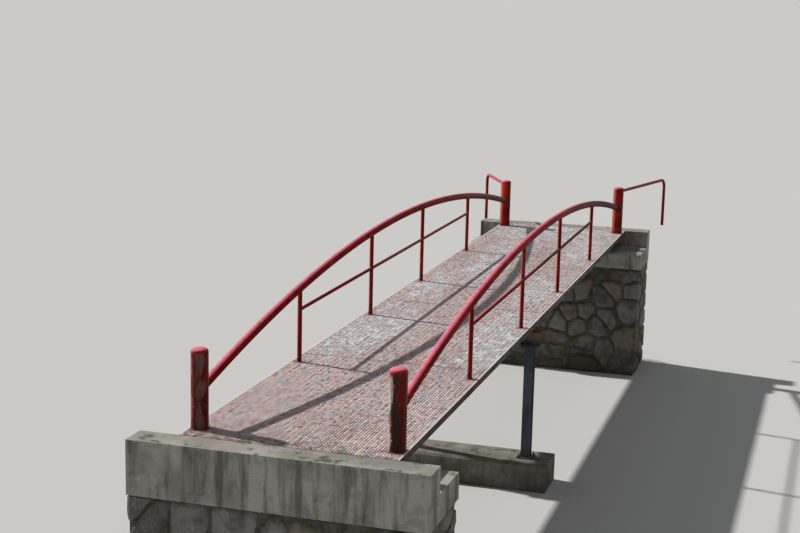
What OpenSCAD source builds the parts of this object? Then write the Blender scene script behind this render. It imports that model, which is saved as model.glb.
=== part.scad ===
// Flat footbridge with arched tubular handrails.
// The bridge is drawn with X along the deck from the near end to the far end,
// Y towards the left handrail and Z up, in millimetres. Z is 0 on top of the deck
// and X is 0 midway between the end posts, until to_frame() moves everything.

/* [Deck] */
// Length of the steel deck
deck_l = 10900; // [8000:50:14000]
// Edge of the deck beyond each handrail plane
deck_edge = 88; // [70:1:200]
// Distance of the plates' edges inside the faces of the edge angles
plate_setback = 6; // [0:1:20]
// Thickness of the deck plates
plate_t = 6; // [4:0.5:12]
// Length of the first plate at the near end
first_plate_l = 2710; // [1500:10:3500]
// Length of the short last plate at the far end
last_plate_l = 540; // [300:10:3000]
// Open joint between two plates
plate_gap = 3; // [1:1:20]

/* [Girders] */
// Distance of each girder's centre inside its handrail plane
girder_inset = 160; // [100:5:300]
// Depth of the rolled girders
girder_h = 200; // [150:5:300]
// Flange width of the girders
girder_b = 100; // [75:5:150]
// Web thickness of the girders
girder_web = 5.5; // [4:0.5:12]
// Flange thickness of the girders
girder_flange = 8; // [6:0.5:16]
// Root radius of the girders
girder_root = 8; // [4:1:16]
// Thickness of the welded web stiffeners
stiffener_t = 6; // [4:1:12]

/* [Cross beams] */
// Depth of the channels between the girders
channel_h = 125; // [80:5:140]
// Flange width of the channels
channel_b = 65; // [40:5:90]
// Web thickness of the channels
channel_web = 6; // [4:0.5:12]
// Flange thickness of the channels
channel_flange = 8; // [5:0.5:14]
// Root radius of the channels
channel_root = 6; // [3:1:12]

/* [Outriggers] */
// Depth of the channels between a girder and its edge angle
outrigger_h = 50; // [45:1:110]
// Flange width of the outriggers
outrigger_b = 38; // [30:1:60]
// Web thickness of the outriggers
outrigger_web = 5; // [4:0.5:10]
// Flange thickness of the outriggers
outrigger_flange = 7; // [4:0.5:12]
// Root radius of the outriggers
outrigger_root = 5; // [2:0.5:10]

/* [Edge angles] */
// Leg of the equal angles along the deck's edges
edge_leg = 50; // [40:1:75]
// Thickness of the edge angles
edge_t = 6; // [4:0.5:10]
// Root radius of the edge angles
edge_root = 6.5; // [3:0.5:10]

/* [Handrails] */
// Distance between the left and right handrail planes
rail_gauge = 1600; // [1400:10:1680]
// Diameter of the arched top rail
rail_d = 76.3; // [48.6:0.1:101.6]
// Wall of the top rail
rail_wall = 3.2; // [2:0.1:6]
// Height of the top rail's centreline at its crown
crown_z = 890; // [800:2:1200]
// Height of the top rail's centreline at the near posts' axes
near_rail_end_z = 305; // [200:5:500]
// Height of the top rail's centreline at the far posts' axes
far_rail_end_z = 345; // [200:5:500]
// Diameter of the balusters
baluster_d = 42.7; // [27.2:0.1:60.5]
// Wall of the balusters
baluster_wall = 2.3; // [2:0.1:5]
// Distance between the two middle balusters
inner_span = 1900; // [1500:10:2400]
// Distance between the two outer balusters
outer_span = 6100; // [4500:10:7400]
// Diameter of the straight middle rail
mid_rail_d = 34; // [21.7:0.1:42.7]
// Wall of the middle rail
mid_rail_wall = 2.3; // [2:0.1:4]
// Height of the middle rail's centreline
mid_rail_z = 488; // [380:2:560]

/* [End posts] */
// Distance from each end of the deck to the end posts' axes
post_inset = 210; // [80:5:600]
// Diameter of the end posts
post_d = 139.8; // [114.3:0.1:190.7]
// Wall of the end posts
post_wall = 4.5; // [3:0.1:8]
// Height of the straight part of a post
post_h = 612; // [560:2:900]
// Radius of the cap's knuckle
cap_knuckle_r = 26; // [15:1:35]
// Radius of the cap's crown
cap_crown_r = 130; // [100:5:250]

/* [Wing rails] */
// Diameter of the wing rails
wing_d = 42.7; // [27.2:0.1:60.5]
// Wall of the wing rails
wing_wall = 2.3; // [2:0.1:5]
// Drop of the wing rails' centreline below the straight part of a post
wing_drop = 32; // [22:1:150]
// Reach of the right wing rail from the post's axis to its leg
right_wing_l = 1660; // [900:10:2000]
// Angle between the right wing rail and the deck's edge
right_wing_angle = 15; // [5:1:45]
// Reach of the left wing rail from the post's axis to its leg
left_wing_l = 1130; // [900:10:2000]
// Angle between the left wing rail and the deck's edge
left_wing_angle = 27; // [5:1:45]
// Centreline radius of the bend above a leg
wing_bend_r = 110; // [70:5:200]
// Depth of the leg's foot below the top of the deck
wing_foot_depth = 100; // [0:10:300]

/* [Pier] */
// Place of the pier along the deck
pier_x = -190; // [-900:10:600]
// Depth and flange width of the cap beam
cap_beam_h = 150; // [100:5:200]
// Length of the cap beam beyond each handrail plane
cap_beam_end = 70; // [50:5:300]
// Web thickness of the cap beam
cap_beam_web = 7; // [5:0.5:12]
// Flange thickness of the cap beam
cap_beam_flange = 10; // [6:0.5:16]
// Depth and flange width of the columns
column_h = 100; // [75:5:150]
// Web thickness of the columns
column_web = 6; // [4:0.5:10]
// Flange thickness of the columns
column_flange = 8; // [5:0.5:14]
// Distance of each column's centre inside its handrail plane
column_inset = 50; // [30:5:400]
// Size of the plates on the ends of a column
end_plate_w = 180; // [150:5:240]
// Thickness of the plates on the ends of a column
end_plate_t = 12; // [6:1:25]
// Length of the footing along the deck
footing_l = 500; // [300:10:900]
// Edge of the footing beyond each column's centre
footing_edge = 270; // [120:10:600]
// Height of the footing
footing_h = 300; // [150:10:500]
// Chamfer along the footing's upper edges
footing_chamfer = 25; // [5:1:60]

/* [Abutments] */
// Depth of the foot of the abutments and the pier below the top of the deck
base_depth = 1900; // [1500:10:2600]
// Edge of the abutments beyond each edge of the deck
abutment_edge = 312; // [50:2:900]
// Length of the ledge that carries the girders
ledge_l = 550; // [450:10:800]
// Thickness of the ledge
ledge_h = 220; // [150:10:350]
// Thickness of the wall behind the deck's end
backwall_t = 250; // [150:10:400]
// Expansion joint between the deck and the wall behind it
end_joint = 10; // [5:1:30]
// Overhang of the ledge in front of the stonework
ledge_overhang = 30; // [0:5:80]
// Chamfer along the ledge's front edge
ledge_chamfer = 20; // [5:1:50]
// Batter of the stonework: rise for one unit of run
batter = 8; // [5:0.5:20]
// Length of a bearing plate along the girder
bearing_l = 200; // [120:10:260]
// Width of a bearing plate
bearing_w = 160; // [110:5:220]
// Thickness of a bearing plate
bearing_t = 12; // [6:1:30]

/* [Hidden] */

$fn = 48;
// Steps along the top rail's arc
arc_steps = 16;
// Steps along a root fillet
fillet_steps = 5;
// Overshoot of a cut past the face that it opens
over = 1;

// Signs of the two handrail planes along Y and of the two ends along X
left_side = 1;
right_side = -1;
near_end = -1;
far_end = 1;

rail_y = rail_gauge / 2;
deck_w = rail_gauge + 2 * deck_edge;
plate_w = deck_w - 2 * plate_setback;
deck_end_x = deck_l / 2;
post_x = deck_end_x - post_inset;
plate_pitch = (deck_l - first_plate_l - last_plate_l) / 3;
seams = [for (i = [0:3]) -deck_end_x + first_plate_l + i * plate_pitch];
plate_bounds = concat([-deck_end_x], seams, [deck_end_x]);
baluster_x = [-outer_span / 2, -inner_span / 2, inner_span / 2, outer_span / 2];

girder_y = rail_y - girder_inset;
girder_top_z = -plate_t;
girder_bottom_z = girder_top_z - girder_h;
column_top_z = girder_bottom_z - cap_beam_h;
column_foot_z = footing_h - base_depth;
column_gauge = rail_gauge - 2 * column_inset;
footing_w = column_gauge + 2 * footing_edge;
abutment_w = deck_w + 2 * abutment_edge;
ledge_top_z = girder_bottom_z - bearing_t;
ledge_bottom_z = ledge_top_z - ledge_h;
abutment_back_x = deck_end_x + end_joint + backwall_t;
ledge_front_x = deck_end_x - ledge_l;
stone_top_x = ledge_front_x + ledge_overhang;
stone_foot_x = stone_top_x - (base_depth + ledge_bottom_z) / batter;
bearing_x = deck_end_x - ledge_l / 2;
// Circle through the top rail's two ends that peaks at the crown's height
near_fall = crown_z - near_rail_end_z;
far_fall = crown_z - far_rail_end_z;
fall_sum = near_fall + far_fall;
fall_gap = near_fall - far_fall;
fall_term = pow(post_x, 2) - near_fall * far_fall;
crown_x = fall_gap * fall_term
    / (post_x * fall_sum + sqrt(pow(post_x * fall_sum, 2) - pow(fall_gap, 2) * fall_term));
rail_r = (pow(post_x + crown_x, 2) + pow(near_fall, 2)) / (2 * near_fall);
arc_centre_z = crown_z - rail_r;
wing_z = post_h - wing_drop;
// The top rail is drawn to just inside a post's wall, where its flanks are cut
rail_end_x = post_x - sqrt(pow(post_d / 2, 2) - pow(rail_d / 2, 2)) + post_wall;
arc_facets = floor(arc_steps * 360 / rail_angle(rail_end_x));

// Cross beams and outriggers stand under both deck ends, each seam, each baluster and mid first bay
cross_beam_x = concat(
    [-deck_end_x + channel_b, (baluster_x[0] - deck_end_x) / 2],
    baluster_x,
    seams,
    [deck_end_x - channel_b]
);

module to_frame() translate([-pier_x, 0, base_depth]) children();

// Height of the top rail's centreline at x
function rail_z(x) = arc_centre_z + sqrt(pow(rail_r, 2) - pow(x - crown_x, 2));

// Fall of the top rail's centreline at x, in degrees towards +X
function rail_slope(x) = asin((x - crown_x) / rail_r);

// Angle of the top rail's arc from -x to x
function rail_angle(x) = rail_slope(x) - rail_slope(-x);

// Points on an arc about centre, from angle a0 to angle a1
function arc_points(centre, r, a0, a1) =
    [for (i = [0:fillet_steps])
        let (a = a0 + (a1 - a0) * i / fillet_steps)
        [centre[0] + r * cos(a), centre[1] + r * sin(a)]];

// Outline of a rolled H section, standing on Y = 0 and centred on X = 0
function h_outline(h, b, web, flange, root) =
    let (rx = web / 2 + root, low = flange + root, high = h - flange - root)
    concat(
        [[-b / 2, 0], [b / 2, 0], [b / 2, flange]],
        arc_points([rx, low], root, 270, 180),
        arc_points([rx, high], root, 180, 90),
        [[b / 2, h - flange], [b / 2, h], [-b / 2, h], [-b / 2, h - flange]],
        arc_points([-rx, high], root, 90, 0),
        arc_points([-rx, low], root, 0, -90),
        [[-b / 2, flange]]
    );

// Outline of a rolled channel, back on X = 0, standing on Y = 0
function channel_outline(h, b, web, flange, root) =
    concat(
        [[0, 0], [b, 0], [b, flange]],
        arc_points([web + root, flange + root], root, 270, 180),
        arc_points([web + root, h - flange - root], root, 180, 90),
        [[b, h - flange], [b, h], [0, h]]
    );

// Outline of an equal angle, outer face on X = 0 and top on Y = 0, legs towards -X and -Y
function angle_outline(leg, t, root) =
    concat(
        [[0, 0], [-leg, 0], [-leg, -t]],
        arc_points([-t - root, -t - root], root, 90, 0),
        [[-t, -leg], [0, -leg]]
    );

// Extrudes an outline drawn in Y and Z along X, centred on X = 0
module along_x(l) rotate([90, 0, 90]) translate([0, 0, -l / 2]) linear_extrude(l) children();

// Extrudes an outline drawn in X and Z along Y, centred on Y = 0
module along_y(l) rotate([90, 0, 0]) translate([0, 0, -l / 2]) linear_extrude(l) children();

// Round bar standing on Z = 0
module bar(d, l) cylinder(d = d, h = l);

// Tube standing on Z = 0, open at both ends
module tube(d, wall, l) {
    difference() {
        bar(d, l);
        translate([0, 0, -over]) bar(d - 2 * wall, l + 2 * over);
    }
}

// Solid arc of round section along the top rail's centreline, from -x to x
module rail_arc(side, d, x) {
    translate([crown_x, side * rail_y, arc_centre_z])
        rotate([90, 0, 0])
        rotate_extrude(angle = rail_angle(x), start = 90 - rail_slope(x), $fn = arc_facets)
        translate([rail_r, 0])
        circle(d = d);
}

// Straight bar of the top rail's size, tangent to its centreline at x
module rail_chord(side, x) {
    l = 2 * baluster_d;
    translate([x, side * rail_y, rail_z(x)])
        rotate([0, 90 + rail_slope(x), 0])
        translate([0, 0, -l / 2])
        bar(rail_d, l);
}

module post_bar(end, side) translate([end * post_x, side * rail_y, 0]) bar(post_d, post_h);

module baluster_bar(side, x) translate([x, side * rail_y, 0]) bar(baluster_d, rail_z(x));

// Stonework block under a ledge, with a battered face towards the span
module stonework(end) {
    color("dimgray")
        along_y(abutment_w)
        polygon([
            [end * abutment_back_x, -base_depth],
            [end * stone_foot_x, -base_depth],
            [end * stone_top_x, ledge_bottom_z],
            [end * abutment_back_x, ledge_bottom_z]
        ]);
}

// Concrete ledge for the girders with the wall behind the deck's end
module ledge(end) {
    color("darkgray")
        along_y(abutment_w)
        polygon([
            [end * abutment_back_x, ledge_bottom_z],
            [end * ledge_front_x, ledge_bottom_z],
            [end * ledge_front_x, ledge_top_z - ledge_chamfer],
            [end * (ledge_front_x + ledge_chamfer), ledge_top_z],
            [end * (deck_end_x + end_joint), ledge_top_z],
            [end * (deck_end_x + end_joint), 0],
            [end * abutment_back_x, 0]
        ]);
}

module bearing_plates(end) {
    color("saddlebrown")
        for (side = [right_side, left_side])
            translate([end * bearing_x - bearing_l / 2, side * girder_y - bearing_w / 2, ledge_top_z])
            cube([bearing_l, bearing_w, bearing_t]);
}

// Stiffeners that fill the girder between its flanges, on both faces of the web
module stiffeners(side, x) {
    half_b = (girder_b - girder_web) / 2;
    for (face = [left_side, right_side])
        translate([
            x - stiffener_t / 2,
            side * girder_y + face * (girder_web + half_b) / 2 - half_b / 2,
            girder_bottom_z + girder_flange
        ])
        cube([stiffener_t, half_b, girder_h - 2 * girder_flange]);
}

module girder(side) {
    color("darkslategray")
        union() {
            translate([0, side * girder_y, girder_bottom_z])
                along_x(deck_l)
                polygon(h_outline(girder_h, girder_b, girder_web, girder_flange, girder_root));
            for (x = [-bearing_x, bearing_x]) stiffeners(side, x);
        }
}

// Block from y0 to y1 on one side of the deck that cuts the top of a channel of width b at x
module top_cut(side, x, b, y0, y1, depth) {
    translate([x - b / 2 - over, side > 0 ? y0 : -y1, girder_top_z - depth])
        cube([b + 2 * over, y1 - y0, depth + over]);
}

// Channel between the girders' webs, coped round their top flanges
module cross_beam(x) {
    end_y = girder_y - girder_web / 2;
    flange_y = girder_y - girder_b / 2;
    difference() {
        translate([x - channel_b / 2, 0, girder_top_z - channel_h])
            along_y(2 * end_y)
            polygon(channel_outline(channel_h, channel_b, channel_web, channel_flange, channel_root));
        for (side = [right_side, left_side])
            top_cut(side, x, channel_b, flange_y, end_y + over, girder_flange + girder_root);
    }
}

// Channel from a girder's web to its edge angle, cut clear of the flange and of the angle's upper leg
module outrigger(side, x) {
    start_y = girder_y + girder_web / 2;
    flange_y = girder_y + girder_b / 2;
    end_y = deck_w / 2 - edge_t;
    outline = channel_outline(outrigger_h, outrigger_b, outrigger_web, outrigger_flange, outrigger_root);
    difference() {
        translate([x - outrigger_b / 2, side * (start_y + end_y) / 2, girder_top_z - outrigger_h])
            along_y(end_y - start_y)
            polygon(outline);
        top_cut(side, x, outrigger_b, start_y - over, flange_y, girder_flange + girder_root);
        top_cut(side, x, outrigger_b, deck_w / 2 - edge_leg, end_y + over, edge_t + edge_root);
    }
}

module cross_beams() color("darkslategray") for (x = cross_beam_x) cross_beam(x);

module outriggers() {
    color("darkslategray")
        for (side = [right_side, left_side], x = cross_beam_x) outrigger(side, x);
}

// Angle under the plates' edges, with its outer face on the deck's edge
module edge_angle(side) {
    color("darkslategray")
        translate([0, side * deck_w / 2, girder_top_z])
        along_x(deck_l)
        polygon([for (p = angle_outline(edge_leg, edge_t, edge_root)) [side * p[0], p[1]]]);
}

module deck_plate(i) {
    x0 = plate_bounds[i] + (i == 0 ? 0 : plate_gap / 2);
    x1 = plate_bounds[i + 1] - (i == 4 ? 0 : plate_gap / 2);
    color("rosybrown") translate([x0, -plate_w / 2, -plate_t]) cube([x1 - x0, plate_w, plate_t]);
}

module pier_footing() {
    top = footing_h - footing_chamfer;
    color("gray")
        translate([pier_x, 0, -base_depth])
        along_y(footing_w)
        polygon([
            [-footing_l / 2, 0],
            [footing_l / 2, 0],
            [footing_l / 2, top],
            [footing_l / 2 - footing_chamfer, footing_h],
            [-footing_l / 2 + footing_chamfer, footing_h],
            [-footing_l / 2, top]
        ]);
}

// Square plate welded on the end of a column, with its underside at z
module end_plate(z) {
    translate([-end_plate_w / 2, -end_plate_w / 2, z]) cube([end_plate_w, end_plate_w, end_plate_t]);
}

// H column whose web stands across the deck
module pier_column(side) {
    color("darkslateblue")
        translate([pier_x, side * column_gauge / 2, 0])
        union() {
            translate([0, 0, column_foot_z])
                linear_extrude(column_top_z - column_foot_z)
                rotate(90)
                translate([0, -column_h / 2])
                polygon(h_outline(column_h, column_h, column_web, column_flange, girder_root));
            end_plate(column_foot_z);
            end_plate(column_top_z - end_plate_t);
        }
}

module pier_cap_beam() {
    color("peru")
        translate([pier_x, 0, column_top_z])
        along_y(rail_gauge + 2 * cap_beam_end)
        polygon(h_outline(cap_beam_h, cap_beam_h, cap_beam_web, cap_beam_flange, girder_root));
}

module post(end, side) {
    color("firebrick") translate([end * post_x, side * rail_y, 0]) tube(post_d, post_wall, post_h);
}

// Half section of a dished cap of outer radius r: a knuckle that runs into a crown
module cap_section(r, knuckle, crown) {
    crown_z0 = -sqrt(pow(crown - knuckle, 2) - pow(r - knuckle, 2));
    tangent_r = (r - knuckle) * crown / (crown - knuckle);
    difference() {
        union() {
            intersection() {
                translate([0, crown_z0]) circle(crown, $fn = 360);
                square([tangent_r, crown]);
            }
            intersection() {
                translate([r - knuckle, 0]) circle(knuckle, $fn = 96);
                square([r, knuckle]);
            }
        }
        translate([-over, -crown]) square([r + 2 * over, crown]);
    }
}

module post_cap(end, side) {
    r = post_d / 2;
    color("firebrick")
        translate([end * post_x, side * rail_y, post_h])
        rotate_extrude($fn = 64)
        difference() {
            cap_section(r, cap_knuckle_r, cap_crown_r);
            cap_section(r - post_wall, cap_knuckle_r - post_wall, cap_crown_r - post_wall);
        }
}

// Arched pipe that ends on the flanks of the two posts
module top_rail(side) {
    color("crimson")
        difference() {
            rail_arc(side, rail_d, rail_end_x);
            rail_arc(side, rail_d - 2 * rail_wall, rail_end_x + over);
            for (end = [near_end, far_end]) post_bar(end, side);
        }
}

// Upright pipe from the deck to a saddle under the top rail
module baluster(side, i) {
    x = baluster_x[i];
    color("firebrick")
        difference() {
            translate([x, side * rail_y, 0]) tube(baluster_d, baluster_wall, rail_z(x));
            rail_chord(side, x);
        }
}

// Straight pipe from the first baluster to the last, cut by those between
module mid_rail(side) {
    color("firebrick")
        difference() {
            translate([-outer_span / 2, side * rail_y, mid_rail_z])
                rotate([0, 90, 0])
                tube(mid_rail_d, mid_rail_wall, outer_span);
            for (x = baluster_x) baluster_bar(side, x);
        }
}

// Solid bar of diameter d along a wing rail: straight reach, bend and leg.
// It starts at the origin along X and its leg points down.
module wing_bar(d, reach) {
    straight = reach - wing_bend_r;
    rotate([0, 90, 0]) bar(d, straight);
    translate([straight, 0, -wing_bend_r])
        rotate([90, 0, 0])
        rotate_extrude(angle = 90, $fn = 96)
        translate([wing_bend_r, 0])
        circle(d = d);
    leg = wing_z + wing_foot_depth - wing_bend_r;
    translate([reach, 0, -wing_bend_r - leg]) bar(d, leg);
}

module wing_rail(side, reach, angle) {
    color("firebrick")
        difference() {
            translate([post_x, side * rail_y, wing_z])
                rotate([0, 0, side * angle])
                difference() {
                    wing_bar(wing_d, reach);
                    wing_bar(wing_d - 2 * wing_wall, reach);
                }
            post_bar(far_end, side);
        }
}

to_frame() stonework(near_end);  // near_abutment_stonework
to_frame() ledge(near_end);  // near_abutment_ledge
to_frame() stonework(far_end);  // far_abutment_stonework
to_frame() ledge(far_end);  // far_abutment_ledge
to_frame() bearing_plates(near_end);  // near_bearing_plates
to_frame() bearing_plates(far_end);  // far_bearing_plates
to_frame() pier_footing();
to_frame() pier_column(left_side);  // pier_column_left
to_frame() pier_column(right_side);  // pier_column_right
to_frame() pier_cap_beam();
to_frame() girder(left_side);  // girder_left
to_frame() girder(right_side);  // girder_right
to_frame() cross_beams();
to_frame() outriggers();
to_frame() edge_angle(left_side);  // edge_angle_left
to_frame() edge_angle(right_side);  // edge_angle_right
to_frame() deck_plate(0);  // deck_plate_1
to_frame() deck_plate(1);  // deck_plate_2
to_frame() deck_plate(2);  // deck_plate_3
to_frame() deck_plate(3);  // deck_plate_4
to_frame() deck_plate(4);  // deck_plate_5
to_frame() post(near_end, left_side);  // near_left_post
to_frame() post(near_end, right_side);  // near_right_post
to_frame() post(far_end, left_side);  // far_left_post
to_frame() post(far_end, right_side);  // far_right_post
to_frame() post_cap(near_end, left_side);  // near_left_cap
to_frame() post_cap(near_end, right_side);  // near_right_cap
to_frame() post_cap(far_end, left_side);  // far_left_cap
to_frame() post_cap(far_end, right_side);  // far_right_cap
to_frame() top_rail(left_side);  // top_rail_left
to_frame() top_rail(right_side);  // top_rail_right
to_frame() baluster(left_side, 0);  // baluster_left_1
to_frame() baluster(left_side, 1);  // baluster_left_2
to_frame() baluster(left_side, 2);  // baluster_left_3
to_frame() baluster(left_side, 3);  // baluster_left_4
to_frame() baluster(right_side, 0);  // baluster_right_1
to_frame() baluster(right_side, 1);  // baluster_right_2
to_frame() baluster(right_side, 2);  // baluster_right_3
to_frame() baluster(right_side, 3);  // baluster_right_4
to_frame() mid_rail(left_side);  // mid_rail_left
to_frame() mid_rail(right_side);  // mid_rail_right
to_frame() wing_rail(left_side, left_wing_l, left_wing_angle);  // wing_rail_left
to_frame() wing_rail(right_side, right_wing_l, right_wing_angle);  // wing_rail_right
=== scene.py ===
"""Looks of a flat footbridge with arched tubular handrails.

Lengths are metres and places are in the part's own frame: X runs along the deck
from the near end to the far end, Y to the left handrail and Z up from the foot of the pier.
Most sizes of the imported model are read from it. Colours are linear.
"""

import math
import random
from collections import namedtuple
from functools import partial, reduce

import bpy
import numpy as np
from mathutils import Matrix, Vector, noise


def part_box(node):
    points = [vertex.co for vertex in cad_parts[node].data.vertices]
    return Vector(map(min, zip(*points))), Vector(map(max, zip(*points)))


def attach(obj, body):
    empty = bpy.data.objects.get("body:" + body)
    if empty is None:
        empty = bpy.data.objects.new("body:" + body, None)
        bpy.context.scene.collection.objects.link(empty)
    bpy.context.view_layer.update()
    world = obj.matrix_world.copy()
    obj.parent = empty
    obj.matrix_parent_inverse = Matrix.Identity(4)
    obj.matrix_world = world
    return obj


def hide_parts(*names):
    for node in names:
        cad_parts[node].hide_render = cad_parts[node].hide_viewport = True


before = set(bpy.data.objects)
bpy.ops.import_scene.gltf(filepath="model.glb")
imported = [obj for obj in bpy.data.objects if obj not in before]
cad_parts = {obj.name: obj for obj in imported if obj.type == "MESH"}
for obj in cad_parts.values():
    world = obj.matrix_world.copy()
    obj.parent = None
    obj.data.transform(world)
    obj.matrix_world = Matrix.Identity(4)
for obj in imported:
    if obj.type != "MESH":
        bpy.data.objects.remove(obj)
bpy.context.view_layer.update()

SIDES = ("left", "right")

# Which way along X each end of the bridge lies
ENDS = {"near": -1, "far": 1}

BALUSTER_COUNT = 4
BALUSTERS = [f"baluster_{side}_{i}" for side in SIDES for i in range(1, BALUSTER_COUNT + 1)]
POSTS = [f"{end}_{side}_post" for end in ENDS for side in SIDES]
DECK_PLATES = [f"deck_plate_{i}" for i in range(1, 6)]
PLATE_LOW, PLATE_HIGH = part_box("deck_plate_1")
DECK_TOP = PLATE_HIGH.z
UP = (0, 0, 1)
DOWN = (0, 0, -1)
SEED = 7

# Mesh attribute that holds one random tone for each lens or stone
TONE = "tone"

Tube = namedtuple("Tube", "centre axis radius")


def sided(name):
    return [f"{name}_{side}" for side in SIDES]


def middle(node):
    low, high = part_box(node)
    return (low + high) / 2


def upright(node):
    """The vertical tube of a CAD node, centred at the top of the deck."""
    low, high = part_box(node)
    centre = (low + high) / 2
    return Tube(Vector((centre.x, centre.y, DECK_TOP)), Vector(UP), (high.y - low.y) / 2)


def standing_tubes():
    """The balusters and posts, which stand on the deck."""
    return [upright(node) for node in BALUSTERS + POSTS]


# Node graphs


class Shade:
    """One material, built around its Principled shader. Its colour is laid on in layers."""

    def __init__(self, name, roughness=0.6, specular=0.15):
        self.material = bpy.data.materials.new(name)
        self.material.use_nodes = True
        self.tree = self.material.node_tree
        self.shader = self.tree.nodes["Principled BSDF"]
        self.shader.inputs["Roughness"].default_value = roughness
        self.shader.inputs["Specular IOR Level"].default_value = specular
        self.place = self.node("ShaderNodeTexCoord", {}).outputs["Object"]
        self.normal = self.node("ShaderNodeNewGeometry", {}).outputs["Normal"]
        self.top_layer = None

    def feed(self, socket, value):
        if isinstance(value, bpy.types.NodeSocket):
            self.tree.links.new(value, socket)
        elif socket.type == "RGBA":
            socket.default_value = (*value[:3], 1.0)
        else:
            socket.default_value = value

    def node(self, kind, inputs, **settings):
        """A new node with its settings made and its inputs fed."""
        node = self.tree.nodes.new(kind)
        for name, value in settings.items():
            setattr(node, name, value)
        for socket, value in inputs.items():
            self.feed(node.inputs[socket], value)
        return node

    def math(self, operation, a, b=0.0):
        return self.node("ShaderNodeMath", {0: a, 1: b}, operation=operation).outputs[0]

    def vector(self, operation, a, b=(0.0, 0.0, 0.0)):
        node = self.node("ShaderNodeVectorMath", {0: a, 1: b}, operation=operation)
        return node.outputs["Value" if operation in ("LENGTH", "DOT_PRODUCT") else "Vector"]

    def along(self, axis):
        """Place along one of the part's axes."""
        return self.node("ShaderNodeSeparateXYZ", {0: self.place}).outputs[axis]

    def attribute(self, name):
        return self.node("ShaderNodeAttribute", {}, attribute_name=name).outputs["Fac"]

    def span(self, value, low, high, start=0.0, end=1.0):
        """value from low..high taken smoothly to start..end, and clamped."""
        inputs = {"Value": value, "From Min": low, "From Max": high, "To Min": start, "To Max": end}
        return self.node("ShaderNodeMapRange", inputs, interpolation_type="SMOOTHSTEP").outputs["Result"]

    def fall(self, value, low, high):
        """1 where value is under low, 0 where it is over high."""
        return self.span(value, low, high, 1.0, 0.0)

    def noise(self, scale, detail=6, roughness=0.55, x=1.0, z=1.0, shift=0):
        """Noise with scale features a metre, drawn out along X or Z where x or z is under 1."""
        moved = self.vector("MULTIPLY", self.place, (scale * x, scale, scale * z))
        moved = self.vector("ADD", moved, (shift, shift * 1.7, shift * 0.6))
        inputs = {"Vector": moved, "Scale": 1.0, "Detail": detail, "Roughness": roughness}
        return self.node("ShaderNodeTexNoise", inputs).outputs["Fac"]

    def patches(self, scale, low, high, least=0.0, **settings):
        """1 in patches where noise is over high, least where it is under low."""
        return self.span(self.noise(scale, **settings), low, high, least, 1.0)

    def wobble(self, amount, scale, **settings):
        """Noise about zero that makes an edge ragged."""
        return self.both(self.math("SUBTRACT", self.noise(scale, **settings), 0.5), amount)

    def speckle(self, scale):
        """Distance to the nearest of scattered points, scale of them a metre."""
        moved = self.vector("MULTIPLY", self.place, (scale, scale, scale))
        return self.node("ShaderNodeTexVoronoi", {"Vector": moved, "Scale": 1.0}).outputs["Distance"]

    def mix(self, factor, a, b):
        return self.node("ShaderNodeMix", {0: factor, 6: a, 7: b}, data_type="RGBA").outputs[2]

    def either(self, *masks):
        return reduce(partial(self.math, "MAXIMUM"), masks)

    def both(self, *masks):
        """The masks multiplied, and a plain number among them thins them."""
        return reduce(partial(self.math, "MULTIPLY"), masks)

    def inverse(self, mask):
        return self.math("SUBTRACT", 1.0, mask)

    def towards(self, direction):
        """Cosine of the angle between the surface's normal and a direction."""
        return self.vector("DOT_PRODUCT", self.normal, tuple(Vector(direction).normalized()))

    def facing(self, direction, low, high):
        """1 where the surface faces the direction, from cosine low to cosine high."""
        return self.span(self.towards(direction), low, high)

    def colour(self, value):
        self.top_layer = value
        self.feed(self.shader.inputs["Base Color"], value)

    def lay(self, layer, mask, amount=1.0):
        """Lays a colour over what is there where the mask is 1, as densely as amount says."""
        self.colour(self.mix(self.both(mask, amount), self.top_layer, layer))

    def gloss(self, value, smooth, rough, low=0.0, high=1.0):
        """Roughness from smooth, where the value is low, to rough, where it is high."""
        self.feed(self.shader.inputs["Roughness"], self.span(value, low, high, smooth, rough))

    def bump(self, height, distance):
        """Raises the surface by distance where height is 1."""
        inputs = {"Strength": 1.0, "Distance": distance, "Height": height}
        self.feed(self.shader.inputs["Normal"], self.node("ShaderNodeBump", inputs).outputs["Normal"])


# Colours that several materials share

RUST = (0.17, 0.06, 0.025)
RUST_DARK = (0.06, 0.026, 0.018)
DIRT = (0.055, 0.045, 0.038)
MOSS = (0.075, 0.095, 0.03)

# Red paint of the railings

RED_DEEP = (0.19, 0.004, 0.004)
RED_FRESH = (0.36, 0.009, 0.007)
# Chalky reds of the side towards the key light: real fading and a painted highlight
RED_FADED_HIGHLIGHT = (0.84, 0.215, 0.3)
RED_FADED_HIGHLIGHT_WARM = (0.84, 0.21, 0.17)
RED_POST = (0.66, 0.034, 0.024)
RED_DULL = (0.22, 0.007, 0.006)
# Darker red for the painted shade on the side of the paint away from the key light
RED_PAINTED_SHADE = (0.065, 0.004, 0.004)
PRIMER = (0.08, 0.034, 0.028)
# Kept dark, partly as painted shade on the near left post that it shows on
PRIMER_PALE = (0.2, 0.11, 0.09)
PALE_UNDERCOAT = (0.62, 0.57, 0.5)
BARE_STEEL = (0.035, 0.024, 0.02)

# Brown of the far lengths of the rails: its common tone, then the paler one that faces
# BROWN_HIGHLIGHT_FACING, which is a painted highlight
BROWN_LEFT = ((0.25, 0.09, 0.075), (0.44, 0.22, 0.19))
BROWN_RIGHT = ((0.085, 0.022, 0.016), (0.23, 0.11, 0.09))
# Direction that the painted highlight on the brown faces
BROWN_HIGHLIGHT_FACING = (0.1, 0.3, 1.0)

# Where along X the top rails and the lower rails turn brown
TOP_RAIL_DULL = (1.2, 3.8)
MID_RAIL_DULL = (-1.6, 0.6)

SPECULAR_RED = 0.08
SPECULAR_DULL = 0.006
FOOT_RUST_HEIGHT = 0.11
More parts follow.
